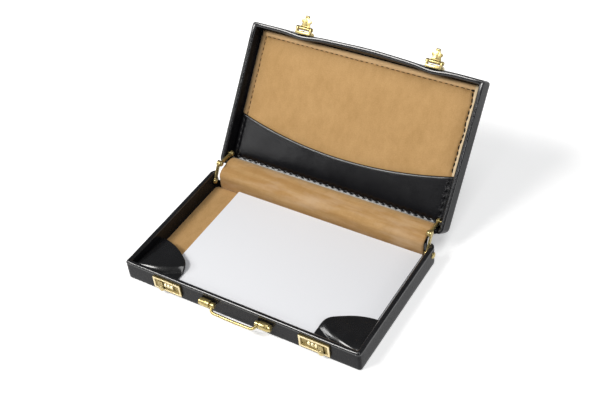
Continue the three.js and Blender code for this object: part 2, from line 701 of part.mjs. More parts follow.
for (const [side, sign] of SIDES) {
  part(base, `corner_flap_${side}`, cornerFlap(sign), pocketLeather);
  part(base, `handle_mount_${side}`, handleMount(sign), brass);
  part(base, `lock_plate_${side}`, lockPlate(side), brass);
  part(base, `lock_button_${side}`, lockButton(side), brass);
  part(base, `wheel_axle_${side}`, axleRod(side), brass);
  for (let index = 0; index < WHEEL_COUNT; index += 1) {
    part(base, `number_wheel_${side}_${index + 1}`, numberWheel(side, index), brass);
  }

  part(lid, `latch_bracket_${side}`, latchBracket(LATCH_X[side]), brass);
  part(lid, `latch_pin_${side}`, latchPin(LATCH_X[side]), brass);
  part(lid, `latch_hasp_${side}`, latchHasp(LATCH_X[side]), brass);

  const elbowOnLid = turnedWithLid(STAY_ELBOW, OPEN_ANGLE);
  part(base, `stay_base_rivet_${side}`, baseRivet(STAY_BASE_PIVOT, sign), brass);
  part(base, `stay_lower_${side}`, stayLink(STAY_BASE_PIVOT, STAY_ELBOW, LOWER_LINK_X, sign), brass);
  part(lid, `stay_upper_${side}`, stayLink(STAY_LID_PIVOT, elbowOnLid, UPPER_LINK_X, sign), brass);
  part(lid, `stay_elbow_rivet_${side}`, elbowRivet(elbowOnLid, sign), brass);
  part(lid, `stay_lid_rivet_${side}`, lidRivet(STAY_LID_PIVOT, sign), brass);
}

// Open the lid: its children are drawn shut, so they are set back by the hinge before it turns.
for (const mesh of lid.children) {
  mesh.position.set(0, -HINGE_Y, -HINGE_Z);
}
lid.position.set(0, HINGE_Y, HINGE_Z);
lid.rotation.x = -OPEN_ANGLE;

const cardCase = new THREE.Group();
cardCase.add(base, lid);

export default cardCase;
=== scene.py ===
from math import ceil, copysign, cos, exp, hypot, pi, radians, sin, sqrt

import bmesh
import bpy
import numpy as np
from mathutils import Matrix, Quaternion, Vector, noise


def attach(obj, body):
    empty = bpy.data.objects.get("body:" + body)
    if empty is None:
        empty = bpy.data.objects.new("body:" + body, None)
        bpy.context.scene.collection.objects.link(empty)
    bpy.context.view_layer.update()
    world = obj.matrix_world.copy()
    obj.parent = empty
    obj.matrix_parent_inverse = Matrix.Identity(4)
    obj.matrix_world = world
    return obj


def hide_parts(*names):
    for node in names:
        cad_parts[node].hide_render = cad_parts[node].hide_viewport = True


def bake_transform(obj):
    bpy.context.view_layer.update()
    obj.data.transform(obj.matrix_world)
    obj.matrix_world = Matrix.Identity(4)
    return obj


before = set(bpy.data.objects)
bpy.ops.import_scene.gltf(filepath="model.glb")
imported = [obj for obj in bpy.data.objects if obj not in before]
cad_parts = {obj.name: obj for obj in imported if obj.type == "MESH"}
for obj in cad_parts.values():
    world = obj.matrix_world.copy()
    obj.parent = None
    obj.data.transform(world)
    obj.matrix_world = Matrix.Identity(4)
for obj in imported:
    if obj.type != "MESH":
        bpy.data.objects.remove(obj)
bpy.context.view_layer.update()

# Dimensions are in millimetres, with +Z up, +Y to the hinge side and the origin under the base.
# Pieces of the lid are drawn in their shut place, and opened() turns them to where they rest.

MM = 0.001
SAME_PLACE = 1e-7
ROUNDED_FROM = radians(35)

WIDTH, DEPTH = 104.0, 61.0
BASE_HEIGHT, LID_HEIGHT = 8.8, 7.4
WALL = 2.0
FLOOR = 1.2
REAR_DROP = 1.2
FRONT, REAR = -DEPTH / 2, DEPTH / 2
LID_RIM = BASE_HEIGHT + 0.2
LID_TOP = LID_RIM + LID_HEIGHT
HINGE_Y, HINGE_Z = REAR + 2.2, BASE_HEIGHT - 1.0
OPEN_ANGLE = radians(128)
LATCH_X = {"left": -28.3, "right": 30.2}
SIDES = (("left", -1), ("right", 1))


# ---------------- geometry helpers

def opened(p):
    """Where a point of the shut lid is with the lid at rest, open."""
    x, y, z = p
    dy, dz = y - HINGE_Y, z - HINGE_Z
    c, s = cos(-OPEN_ANGLE), sin(-OPEN_ANGLE)
    return (x, HINGE_Y + dy * c - dz * s, HINGE_Z + dy * s + dz * c)


def soft(t):
    """Rises from 0 to 1, fast at first."""
    return 1 - exp(-max(t, 0))


def hump(t, width):
    """1 at t = 0, falling to 0 on both sides."""
    return exp(-(t / width) ** 2)


def smooth(t):
    """Rises from 0 to 1 between t = 0 and t = 1, level at both ends."""
    t = min(max(t, 0), 1)
    return t * t * (3 - 2 * t)


def arcs(count):
    """Angles over a quarter turn, both ends included."""
    return [pi / 2 * k / count for k in range(count + 1)]


def arcs_to(angle, count):
    """Angles between 0 and the given one, both ends left out."""
    return [angle * k / count for k in range(1, count)]


def wobble(x, y, scale, seed=0.0):
    """Smooth noise from about -1 to 1, with features about scale millimetres wide."""
    return noise.noise(Vector((x / scale, y / scale, seed)))


def grid_faces(rows, cols, start=0, flip=False):
    """The four-sided faces of a grid whose points begin at start."""
    faces = []
    for j in range(rows - 1):
        for i in range(cols - 1):
            a = start + j * cols + i
            quad = (a, a + 1, a + cols + 1, a + cols)
            faces.append(quad[::-1] if flip else quad)
    return faces


def sheet(front, back):
    """A closed sheet between two grids of points, with a rounded edge all round."""
    rows, cols = len(front), len(front[0])
    verts = [p for row in front for p in row] + [p for row in back for p in row]
    count = rows * cols
    faces = grid_faces(rows, cols) + grid_faces(rows, cols, count, flip=True)
    border = [(0, i) for i in range(cols - 1)] + [(j, cols - 1) for j in range(rows - 1)]
    border += [(rows - 1, i) for i in range(cols - 1, 0, -1)] + [(j, 0) for j in range(rows - 1, 0, -1)]
    rim = []
    for j, i in border:
        jn, inn = min(max(j, 1), rows - 2), min(max(i, 1), cols - 2)
        f, b = Vector(front[j][i]), Vector(back[j][i])
        outward = f - Vector(front[jn][inn])
        middle = (f + b) / 2
        if outward.length > 1e-6:
            middle += outward.normalized() * (f - b).length * 0.3
        rim.append(len(verts))
        verts.append(tuple(middle))
    for k, (j, i) in enumerate(border):
        jj, ii = border[(k + 1) % len(border)]
        a, b = j * cols + i, jj * cols + ii
        m, n = rim[k], rim[(k + 1) % len(border)]
        faces += [(b, a, m, n), (n, m, a + count, b + count)]
    return verts, faces


def two_sided(rows, cols, place):
    """A closed sheet of rows and columns; place(i, j) gives a point in front and the one behind it."""
    grid = [[place(i, j) for i in range(cols)] for j in range(rows)]
    return sheet([[front for front, _ in row] for row in grid], [[back for _, back in row] for row in grid])


def loft(rings):
    """A closed skin through rings of the same number of points, capped at both ends."""
    n = len(rings[0])
    verts = [p for ring in rings for p in ring]
    faces = []
    for r in range(len(rings) - 1):
        for i in range(n):
            j = (i + 1) % n
            faces.append((r * n + i, r * n + j, (r + 1) * n + j, (r + 1) * n + i))
    last = (len(rings) - 1) * n
    faces += [tuple(range(n))[::-1], tuple(range(last, last + n))]
    return verts, faces


def tube(path, radii, sides=12):
    """A round bar along a path, with one radius or a radius for each point."""
    points = [Vector(p) for p in path]
    if not hasattr(radii, "__len__"):
        radii = [radii] * len(points)
    rings = []
    tangent = (points[1] - points[0]).normalized()
    normal = tangent.orthogonal().normalized()
    for k, p in enumerate(points):
        a, b = points[max(k - 1, 0)], points[min(k + 1, len(points) - 1)]
        fresh = (b - a).normalized()
        normal = (normal - fresh * normal.dot(fresh)).normalized()
        side = fresh.cross(normal)
        turn = [2 * pi * s / sides for s in range(sides)]
        rings.append([tuple(p + (normal * cos(t) + side * sin(t)) * radii[k]) for t in turn])
    return loft(rings)


def turned_x(profile, y, z, sides=32, shape=None):
    """Turned about a line along X. The profile holds (x, radius); shape scales the radius by angle."""
    rings = []
    for x, radius in profile:
        ring = []
        for s in range(sides):
            t = 2 * pi * s / sides
            r = max(radius, 0.001) * (shape(t) if shape else 1)
            ring.append((x, y + r * cos(t), z + r * sin(t)))
        rings.append(ring)
    return loft(rings)


def mirrored(middle, half):
    """Points (distance to the left of the middle, other), then the same on the right, back again."""
    return [(middle - d, r) for d, r in half] + [(middle + d, r) for d, r in reversed(half)]


def prism(outline, low, high, place):
    """An outline raised from low to high; place(u, v, h) gives the point."""
    rings = [[place(u, v, low) for u, v in outline], [place(u, v, high) for u, v in outline]]
    return loft(rings)


def block(low, high):
    (x0, y0, z0), (x1, y1, z1) = low, high
    outline = [(x0, y0), (x1, y0), (x1, y1), (x0, y1)]
    return prism(outline, z0, z1, lambda u, v, h: (u, v, h))


def stepped(xs, zs, depth, back):
    """A plate on a front wall, of cells that each stand out by their own depth, or 0 for a hole."""
    verts, faces = [], []

    def quad(*corners):
        faces.append(tuple(range(len(verts), len(verts) + 4)))
        verts.extend(corners)

    cols, rows = len(xs) - 1, len(zs) - 1
    for i in range(cols):
        for j in range(rows):
            x0, x1, z0, z1 = xs[i], xs[i + 1], zs[j], zs[j + 1]
            y = back - depth[i][j]
            if depth[i][j]:
                quad((x0, y, z0), (x1, y, z0), (x1, y, z1), (x0, y, z1))
                quad((x0, back, z0), (x0, back, z1), (x1, back, z1), (x1, back, z0))
            right = depth[i + 1][j] if i + 1 < cols else 0
            if right != depth[i][j]:
                yr = back - right
                quad((x1, y, z0), (x1, yr, z0), (x1, yr, z1), (x1, y, z1))
            if i == 0:
                quad((x0, back, z0), (x0, y, z0), (x0, y, z1), (x0, back, z1))
            above = depth[i][j + 1] if j + 1 < rows else 0
            if above != depth[i][j]:
                ya = back - above
                quad((x0, y, z1), (x1, y, z1), (x1, ya, z1), (x0, ya, z1))
            if j == 0:
                quad((x0, back, z0), (x1, back, z0), (x1, y, z0), (x0, y, z0))
    return verts, faces


def joined(*parts):
    verts, faces = [], []
    for v, f in parts:
        start = len(verts)
        verts.extend(v)
        faces.extend(tuple(i + start for i in face) for face in f)
    return verts, faces


def placed(name, data):
    obj = bpy.data.objects.new(name, data)
    bpy.context.scene.collection.objects.link(obj)
    return obj


def piece(name, shape, material, body, nodes=(), slot=None, lid=False, bevel=0.0, angle=40):
    """Makes an object of a shape in millimetres and puts it on its CAD body. Edges sharper than the
    angle look sharp, or are rounded by the bevel."""
    verts, faces = shape
    if lid:
        verts = [opened(p) for p in verts]
    mesh = bpy.data.meshes.new(name)
    mesh.from_pydata([tuple(c * MM for c in p) for p in verts], [], faces)
    bm = bmesh.new()
    bm.from_mesh(mesh)
    bmesh.ops.remove_doubles(bm, verts=bm.verts, dist=SAME_PLACE)
    bmesh.ops.recalc_face_normals(bm, faces=bm.faces)
    bm.to_mesh(mesh)
    bm.free()
    mesh.shade_smooth()
    mesh.set_sharp_from_angle(angle=radians(angle))
    mesh.materials.append(material)
    obj = placed(name, mesh)
    if bevel:
        rounding = obj.modifiers.new("Rounding", "BEVEL")
        rounding.width = bevel * MM
        rounding.segments = 3
        rounding.limit_method = "ANGLE"
        rounding.angle_limit = ROUNDED_FROM
        if "sharp_edge" in mesh.attributes:
            mesh.attributes.remove(mesh.attributes["sharp_edge"])
    if body:
        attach(obj, body)
    if nodes:
        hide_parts(*nodes)
    return obj


# ---------------- materials

class Shader:
    """A node material on a Principled surface, with helpers in millimetres."""

    def __init__(self, name, **settings):
        self.material = bpy.data.materials.new(name)
        self.material.use_nodes = True
        self.nodes = self.material.node_tree.nodes
        self.links = self.material.node_tree.links
        self.surface = self.nodes["Principled BSDF"]
        for key, value in settings.items():
            self.surface.inputs[key.replace("_", " ")].default_value = value
        place = self.node("TexCoord")
        scale = self.node("VectorMath", operation="SCALE")
        scale.inputs["Scale"].default_value = 1 / MM
        self.links.new(place.outputs["Object"], scale.inputs[0])
        self.here = scale.outputs[0]

    def node(self, kind, **settings):
        node = self.nodes.new("ShaderNode" + kind)
        for key, value in settings.items():
            setattr(node, key, value)
        return node

    def feed(self, socket, value):
        """Sets a socket to a number or a colour, or links it to another node."""
        if isinstance(value, (int, float)):
            socket.default_value = value
        elif isinstance(value, tuple):
            socket.default_value = (*value, 1)
        else:
            self.links.new(value, socket)

    def noise(self, size, detail=3.0, rough=0.55, stretch=None):
        """Soft noise from 0 to 1 with features of the given size; a stretch below 1 lengthens them."""
        node = self.node("TexNoise")
        node.inputs["Scale"].default_value = 1 / size
        node.inputs["Detail"].default_value = detail
        node.inputs["Roughness"].default_value = rough
        where = self.here
        if stretch:
            squeeze = self.node("VectorMath", operation="MULTIPLY")
            squeeze.inputs[1].default_value = stretch
            self.links.new(where, squeeze.inputs[0])
            where = squeeze.outputs[0]
        self.links.new(where, node.inputs["Vector"])
        return node.outputs["Fac"]

    def cells(self, size):
        """The distance from the middle of the nearest of many cells."""
        node = self.node("TexVoronoi")
        node.inputs["Scale"].default_value = 1 / size
        self.links.new(self.here, node.inputs["Vector"])
        return node.outputs["Distance"]

    def along(self, direction):
        """How far along a direction each place lies."""
        node = self.node("VectorMath", operation="DOT_PRODUCT")
        node.inputs[1].default_value = direction
        self.links.new(self.here, node.inputs[0])
        return node.outputs["Value"]

    def remap(self, value, low, high, out_low=0.0, out_high=1.0):
        """Carries low to out_low and high to out_high, and holds the value between them."""
        node = self.node("MapRange")
        limits = {"From Min": low, "From Max": high, "To Min": out_low, "To Max": out_high}
        for key, number in limits.items():
            node.inputs[key].default_value = number
        self.links.new(value, node.inputs["Value"])
        return node.outputs["Result"]

    def math(self, operation, a, b):
        node = self.node("Math", operation=operation)
        self.feed(node.inputs[0], a)
        self.feed(node.inputs[1], b)
        return node.outputs[0]

    def blend(self, factor, first, second):
        """Mixes two colours: the colour sockets of this node come after those for other data."""
        node = self.node("Mix", data_type="RGBA")
        self.feed(node.inputs[0], factor)
        self.feed(node.inputs[6], first)
        self.feed(node.inputs[7], second)
        return node.outputs[2]

    def set(self, name, value):
        self.links.new(value, self.surface.inputs[name])

    def bump(self, height, depth, strength=1.0):
        """Raises the surface by up to depth millimetres."""
        node = self.node("Bump")
        node.inputs["Strength"].default_value = strength
        node.inputs["Distance"].default_value = depth * MM
        self.links.new(height, node.inputs["Height"])
        self.set("Normal", node.outputs["Normal"])


BURNISHED_SHINE, BURNISHED_COAT = 0.5, 0.55


def leather(name, color, rough, grain_size, grain_depth, coat=0.0, shine=0.5, rim=None):
    """Black finished leather: pebbled grain, soft creases, and a polish that comes and goes.
    A rim, as a direction and a height along it in millimetres, is burnished brighter above that."""
    s = Shader(name, Coat_Weight=coat, Coat_Roughness=0.12, Specular_IOR_Level=shine)
    if rim:
        direction, level = rim
        above = s.remap(s.along(direction), level - 0.5, level)
        s.set("Specular IOR Level", s.remap(above, 0.0, 1.0, shine, BURNISHED_SHINE))
        s.set("Coat Weight", s.remap(above, 0.0, 1.0, coat, BURNISHED_COAT))
    tone = s.remap(s.noise(9.0), 0.3, 0.7)
    s.set("Base Color", s.blend(tone, color, tuple(c * 1.7 for c in color)))
    polish = s.math("ADD", s.noise(4.5, 2), s.math("MULTIPLY", s.noise(0.4, 2), 0.8))
    s.set("Roughness", s.remap(polish, 0.65, 1.15, rough * 0.88, rough * 1.15))
    pebbles = s.math("MULTIPLY", s.cells(grain_size), 0.8)
    creases = s.math("MULTIPLY", s.noise(grain_size * 2.2, 5, 0.65), 1.2)
    s.bump(s.math("ADD", pebbles, creases), grain_depth)
    return s.material


def velvet(name, light, dark, hems_with_painted_light=(), rolled=0.0):
    """Brushed velvet: a warm mottle, streaks of nap and a pale bloom at glancing angles. Each hem
    is a direction, a distance along it and the tone of the pressed cloth past that, with painted
    light in it: a hem painted as lit is paler, and one painted in shade is darker. Rolled cloth
    also has long streaks along X."""
    s = Shader(name, Roughness=0.95, Sheen_Weight=0.35, Sheen_Roughness=0.45, Specular_IOR_Level=0.1)
    s.surface.inputs["Sheen Tint"].default_value = (1.0, 0.86, 0.62, 1)
    mottle = s.remap(s.noise(11.0, 4, 0.6), 0.35, 0.68)
    streaks = s.remap(s.noise(2.4, 4, 0.6, (1.0, 0.35, 0.6)), 0.35, 0.65)
    nap = s.remap(s.noise(0.42, 3, 0.7), 0.3, 0.7)
    mix = s.math("ADD", s.math("MULTIPLY", mottle, 0.3), s.math("MULTIPLY", streaks, 0.25))
    mix = s.math("ADD", mix, s.math("MULTIPLY", nap, 0.45))
    cloth = s.blend(mix, dark, light)
    if rolled:
        lines = s.remap(s.noise(3.2, 5, 0.62, (0.1, 1.0, 1.0)), 0.42, 0.62, 0.0, rolled)
        worn = s.remap(s.noise(8.0, 4, 0.6, (0.3, 1.0, 1.0)), 0.5, 0.68, 0.0, rolled)
        cloth = s.blend(lines, cloth, tuple(c * k for c, k in zip(dark, (0.86, 0.76, 0.62))))
        cloth = s.blend(worn, cloth, tuple(c * k for c, k in zip(light, (1.08, 1.24, 1.8))))
    # Each hem's tone is blended in past its line: partly the pressed cloth's own tone, partly painted
    # highlight or painted shade.
    for direction, level, tone in hems_with_painted_light:
        cloth = s.blend(s.remap(s.along(direction), level, level + 0.35, 0.0, 0.85), cloth, tone)
    s.set("Base Color", cloth)
    s.bump(s.math("ADD", s.noise(0.32, 4, 0.7), s.math("MULTIPLY", streaks, 0.4)), 0.06, 0.8)
    return s.material


def brass(name, color, rough, wear, painted_shade_depth=None):
    """Gilt metal: soft smudges, fine scratches and a slightly uneven plating. Parts of a fitting on
    the front wall that stand out less than the given recess depth (in millimetres along -Y) are
    darkened as painted shade."""
    s = Shader(name, Metallic=0.78)
    tone = s.remap(s.noise(1.6, 4), 0.35, 0.7)
    plating = s.blend(tone, color, tuple(c * k for c, k in zip(color, (0.8, 0.74, 0.58))))
    # Painted shade: parts sunk deeper than the recess depth take a darker brass colour.
    if painted_shade_depth:
        out_of_painted_shade = s.remap(s.along((0, -1, 0)), painted_shade_depth - 0.12, painted_shade_depth)
        plating = s.blend(out_of_painted_shade, tuple(c * k for c, k in zip(color, (0.32, 0.28, 0.16))), plating)
    s.set("Base Color", plating)
    smudge = s.math("ADD", s.noise(0.9, 3), s.math("MULTIPLY", s.noise(0.12, 2, 0.5, (1, 6, 1)), 0.4))
    s.set("Roughness", s.remap(smudge, 0.5, 1.0, rough * 0.7, rough * 1.5))
    s.bump(s.noise(0.5, 3), wear)
    return s.material


def paper(name, color):
    """Smooth card with a faint fibre tone."""
    s = Shader(name, Roughness=0.45, Specular_IOR_Level=0.35)
    fibres = s.remap(s.noise(0.5, 3), 0.3, 0.7)
    s.set("Base Color", s.blend(fibres, color, tuple(c * 0.985 for c in color)))
    s.bump(s.noise(0.3, 3), 0.006)
    return s.material


def thread(name, color, sheen):
    """Twisted thread: bands round the yarn and a slight fuzz."""
    s = Shader(name, Roughness=0.6, Sheen_Weight=sheen, Specular_IOR_Level=0.08)
    s.set("Base Color", s.blend(s.noise(0.25, 2), color, tuple(c * 1.8 for c in color)))
    s.bump(s.noise(0.15, 2, 0.5, (3, 1, 1)), 0.05)
    return s.material


# Square to the open lid's rim and out of it, and how far along that the rim lies.
RIM_UP = (0, sin(-OPEN_ANGLE), -cos(OPEN_ANGLE))
LID_RIM_ALONG = Vector(opened((0, 0, LID_RIM))).dot(Vector(RIM_UP))

LEATHERETTE = leather("leatherette", (0.0060, 0.0060, 0.0070), 0.27, 0.55, 0.006, shine=0.11,
                      rim=((0, 0, 1), BASE_HEIGHT - 0.6))
LID_LEATHERETTE = leather("lid_leatherette", (0.0055, 0.0055, 0.0065), 0.27, 0.55, 0.008, shine=0.055,
                          rim=(RIM_UP, LID_RIM_ALONG - 0.2))
GLOSS_LEATHER = leather("gloss_leather", (0.0026, 0.0026, 0.0034), 0.21, 0.36, 0.018, shine=0.36)
FLAP_LEATHER = leather("flap_leather", (0.0050, 0.0050, 0.0056), 0.26, 0.6, 0.008, coat=0.45)
VELVET_TONES = ((0.545, 0.335, 0.148), (0.392, 0.228, 0.085))
VELVET = velvet("velvet", *VELVET_TONES)
ROLLED_VELVET = velvet("rolled_velvet", *VELVET_TONES, rolled=0.55)
BRASS = brass("brass", (0.54, 0.44, 0.20), 0.26, 0.012)
# The recesses of the lock plate and of the button are darkened as painted shade.
LOCK_BRASS = brass("lock_brass", (0.82, 0.71, 0.46), 0.36, 0.008, painted_shade_depth=31.3)
BUTTON_BRASS = brass("button_brass", (0.62, 0.52, 0.28), 0.38, 0.008, painted_shade_depth=31.6)
WHEEL_BRASS = brass("wheel_brass", (0.85, 0.76, 0.50), 0.38, 0.02)
CARD = paper("card", (0.80, 0.81, 0.84))
BROWN_THREAD = thread("brown_thread", (0.012, 0.007, 0.003), 0.1)
BLACK_THREAD = thread("black_thread", (0.0015, 0.0015, 0.0015), 0.0)


# ---------------- the two shells

FRONT_RADIUS, REAR_RADIUS = 1.2, 2.6
RIM_WAVER, WALL_WAVER = 0.06, 0.10
REAR_CUT_HALF = 50.05
STAY_GAP_FROM, STAY_GAP_DROP = 47.7, 5.1
RIM_MIDDLE = 1.1
NUB_HEIGHT, NUB_HOLLOW, NUB_WIDTH = 0.24, 0.2, 1.1
DENT, DENT_WIDTH = 0.75, 5.5
BOW, BOW_AT, BOW_WIDTH = 0.8, 1, 18

# Points of (inset, height) round the lower edge, and of (inset, how far below the top) over each rim.
UNDERSIDE = ((1.2, 0.0), (0.6, 0.02), (0.22, 0.14), (0.05, 0.35), (0.0, 0.7))
BASE_EDGE = ((0.03, 0.6), (0.1, 0.43), (0.2, 0.31), (0.34, 0.2), (0.47, 0.1), (0.6, 0.03), (0.8, 0.0),
             (1.15, 0.01), (1.4, 0.05), (1.6, 0.15), (1.77, 0.31), (1.9, 0.5), (1.98, 0.75))
LID_EDGE = ((0.02, 0.42), (0.07, 0.24), (0.15, 0.14), (0.4, 0.065), (0.52, 0.04), (0.7, 0.015),
            (0.9, 0.0), (1.1, 0.03), (1.3, 0.08), (1.5, 0.16), (1.7, 0.3), (1.86, 0.52), (1.96, 0.85))


def plan_ring(inset, arc=8):
    """Points round a shell's plan, anticlockwise from the front left, set in from the outside. Along
    the rear they lie close together where the gaps for the stays begin."""
    x0, x1 = -WIDTH / 2 + inset, WIDTH / 2 - inset
    y0, y1 = FRONT + inset, REAR - inset
    rf, rr = max(FRONT_RADIUS - inset, 0.6), max(REAR_RADIUS - inset, 0.8)
    along_x, along_y = range(-49, 50, 2), range(-27, 28, 2)
    gap_end = [48.9, STAY_GAP_FROM + 0.1, STAY_GAP_FROM - 0.2, 46.5]
    rear_x = [*gap_end, *range(45, -46, -3), *(-x for x in reversed(gap_end))]
    ring = [(x, y0) for x in along_x]
    ring += [(x1 - rf + rf * sin(t), y0 + rf - rf * cos(t)) for t in arcs(arc)]
    ring += [(x1, y) for y in along_y]
    ring += [(x1 - rr + rr * cos(t), y1 - rr + rr * sin(t)) for t in arcs(arc)]
    ring += [(x, y1) for x in rear_x]
    ring += [(x0 + rr - rr * sin(t), y1 - rr + rr * cos(t)) for t in arcs(arc)]
    ring += [(x0, y) for y in reversed(along_y)]
    ring += [(x0 + rf - rf * cos(t), y0 + rf - rf * sin(t)) for t in arcs(arc)]
    return ring


def shell(height, edge, rim_drop, to_z, dent=None):
    """A tray wrapped in leatherette, as a skin from the underside over the rim to the floor inside.
    rim_drop and dent say where the rim is cut down and a wall is pushed in, and to_z turns the tray."""
    rings = []

    def ring(inset, h, at_rim=0.0):
        points = []
        for x, y in plan_ring(inset):
            level = h
            if at_rim:
                level -= rim_drop(x, y) * at_rim
                level += RIM_WAVER * wobble(x, y, 9, height) * at_rim
            wavers = inset < 1 and abs(y) > REAR - 1.5
            waver = WALL_WAVER * wobble(x, y, 16, height + 3) if wavers else 0
            push = dent(x, y, level) if dent else 0
            points.append((x, y + push + waver, to_z(level)))
        rings.append(points)

    for inset, h in UNDERSIDE:
        ring(inset, h)
    outside = height - 1.3
    for k in range(1, 6):
        ring(0.0, 0.7 + outside * k / 5 * 0.999, k / 5)
    for inset, below in edge:
        ring(inset, height - below, 1.0)
    inside = height - 1.1 - FLOOR
    for k in range(1, 5):
        ring(WALL, height - 0.8 - inside * k / 4, 1 - k / 4)
    ring(WALL + 0.15, FLOOR + 0.08)
    ring(WALL + 0.6, FLOOR)
    return loft(rings)


def in_rear_wall(x, y):
    return abs(x) <= REAR_CUT_HALF and y > REAR - WALL - 0.5


def front_corner(x, y):
    """1 at the middle of the rim at each front corner, falling to 0 a little over a millimetre away."""
    across, back = abs(x) - (WIDTH / 2 - RIM_MIDDLE), y - FRONT - RIM_MIDDLE
    return hump(hypot(across, back), NUB_WIDTH)


def base_drop(x, y):
    """How far the base's rim is cut down: along the rear wall, and deeper where the stays swing. The
    leather is gathered into a small nub at each front corner."""
    if not in_rear_wall(x, y):
        return -NUB_HEIGHT * front_corner(x, y)
    return REAR_DROP if abs(x) < STAY_GAP_FROM else STAY_GAP_DROP


def lid_drop(x, y):
    """How far the lid's rim is cut down: along the rear wall, and a little over the base's nubs."""
    return REAR_DROP if in_rear_wall(x, y) else NUB_HOLLOW * front_corner(x, y)


def latch_dent(x, y, level):
    """The lid's front wall is drawn in by the screws of each latch and bows out between them."""
    if y > FRONT + 3:
        return 0.0
    share = smooth((level - 1) / (LID_HEIGHT - 1))
    dents = DENT * sum(hump(x - at, DENT_WIDTH) for at in LATCH_X.values())
    return share * (dents - BOW * hump(x - BOW_AT, BOW_WIDTH))


piece("base_cover", shell(BASE_HEIGHT, BASE_EDGE, base_drop, lambda h: h),
      LEATHERETTE, "base", ["base_shell"], "leatherette", angle=50)
piece("lid_cover", shell(LID_HEIGHT, LID_EDGE, lid_drop, lambda h: LID_TOP - h, latch_dent),
      LID_LEATHERETTE, "lid", ["lid_shell"], "leatherette", lid=True, angle=50)


# ---------------- linings and cards

def rounded_sheet(x_half, y0, y1, step, height, back, radius=1.0):
    """A sheet over a rectangle with rounded corners: its face is at height(x, y) and its back level."""
    cols, rows = int(2 * x_half / step) + 1, int((y1 - y0) / step) + 1

    def place(i, j):
        y = y0 + (y1 - y0) * j / (rows - 1)
        edge = min(y - y0, y1 - y)
        cut = radius - sqrt(max(radius ** 2 - max(radius - edge, 0) ** 2, 0))
        x = -x_half + cut + 2 * (x_half - cut) * i / (cols - 1)
        return (x, y, height(x, y)), (x, y, back)

    return two_sided(rows, cols, place)


LINING_X, LINING_Y = 49.7, 28.2


def floor_height(x, y):
    """The top of the floor lining, which rolls down at its edges."""
    edge = min(LINING_X - abs(x), y + LINING_Y, LINING_Y - y)
    return 1.45 + 0.4 * soft(edge / 0.6) + 0.05 * wobble(x, y, 6)


piece("floor_velvet", rounded_sheet(LINING_X, -LINING_Y, LINING_Y, 1.0, floor_height, FLOOR + 0.08),
      VELVET, "base", ["base_floor_lining"], "velvet_lining")

CARD_X, CARD_Y = 42.4, 27.4
CARD_PITCH, CARD_THICKNESS = 0.4, 0.35
PACK_AT = (5.3, -0.4, 2.02)
# How far each card lies off the pack's middle along X and Y, and its turn in degrees.
CARD_SHIFTS = ((0.3, 0.1, 0.1), (-0.4, 0.3, -0.2), (0.2, -0.2, 0.15), (-0.2, 0.25, 0.3), (0, 0, 0))


def cards():
    """Five cards, squared up by hand."""
    parts = []
    pack_x, pack_y, pack_z = PACK_AT
    outline = [(-CARD_X, -CARD_Y), (CARD_X, -CARD_Y), (CARD_X, CARD_Y), (-CARD_X, CARD_Y)]
    for index, (dx, dy, turn) in enumerate(CARD_SHIFTS):
        bottom = pack_z + CARD_PITCH * index
        c, s = cos(radians(turn)), sin(radians(turn))

        def place(u, v, h):
            return (pack_x + dx + u * c - v * s, pack_y + dy + u * s + v * c, h)

        parts.append(prism(outline, bottom, bottom + CARD_THICKNESS, place))
    return joined(*parts)


piece("card_pack", cards(), CARD, "base", ["card_stack"], "card", bevel=0.06)

PANEL_BACK = LID_RIM + 6.1
PANEL_HALF = 49.6
PANEL_FRONT = FRONT + 2.4
PANEL_REAR = REAR - 2.9
SEAM_INSET = 2.3
SEAM_STOP = PANEL_REAR - 19.0
PANEL_STITCH, PANEL_PITCH = 2.2, 2.32
LOOSE_FROM = 40


def seam_inset(x, y):
    """The stitch line wanders a little, most of all on the right."""
    pull = 0.75 * wobble(x, y, 4.5, 2) if x > LOOSE_FROM else 0.12 * wobble(x, y, 7, 5)
    return SEAM_INSET + pull


def panel_height(x, y):
    """The panel's face: a hem, a sewn groove and a padded middle that is flat under the pocket."""
    edge, seam = min(PANEL_HALF - abs(x), y - PANEL_FRONT), seam_inset(x, y)
    roll = 0.25 + 0.35 * soft(edge / 0.35)
    hem = 0.22 * sin(pi * min(max(edge / seam, 0), 1))
    crown = 0.5 * soft((edge - seam) / 2.0) if edge > seam else 0
    groove = 0.5 * hump(edge - seam, 0.34)
    under_pocket = smooth((y - (PANEL_REAR - 20)) / 6)
    pucker = 0.10 * wobble(x, y, 1.6, 9) * hump(edge - seam, 1.6) * (2.2 if x > LOOSE_FROM else 0.8)
    swell = 0.14 * wobble(x, y, 14, 1) + 0.03 * wobble(x, y, 3, 4)
    rise = roll + hem + crown * (1 - 0.7 * under_pocket) - groove + pucker + swell * (1 - under_pocket)
    return PANEL_BACK - max(rise, 0.1)


FORWARD = Vector(opened((0, -1, 0))) - Vector(opened((0, 0, 0)))
HEM_AT = Vector(opened((0, PANEL_FRONT + SEAM_INSET, 0))).dot(FORWARD)
# The lid panel's hems: the front one a little paler, the right one pale as a painted highlight, the left one
# dark as painted shade.
PANEL_VELVET = velvet("panel_velvet", *VELVET_TONES, hems_with_painted_light=(
    (FORWARD, HEM_AT, (0.60, 0.40, 0.21)), ((1, 0, 0), PANEL_HALF - SEAM_INSET, (0.76, 0.62, 0.42)),
    ((-1, 0, 0), PANEL_HALF - SEAM_INSET, (0.34, 0.22, 0.11))))
lid_panel = piece(
    "lid_panel", rounded_sheet(PANEL_HALF, PANEL_FRONT, PANEL_REAR, 0.4, panel_height, PANEL_BACK),
    PANEL_VELVET, "lid", ["lid_lining"], "velvet_lining", lid=True, angle=70)


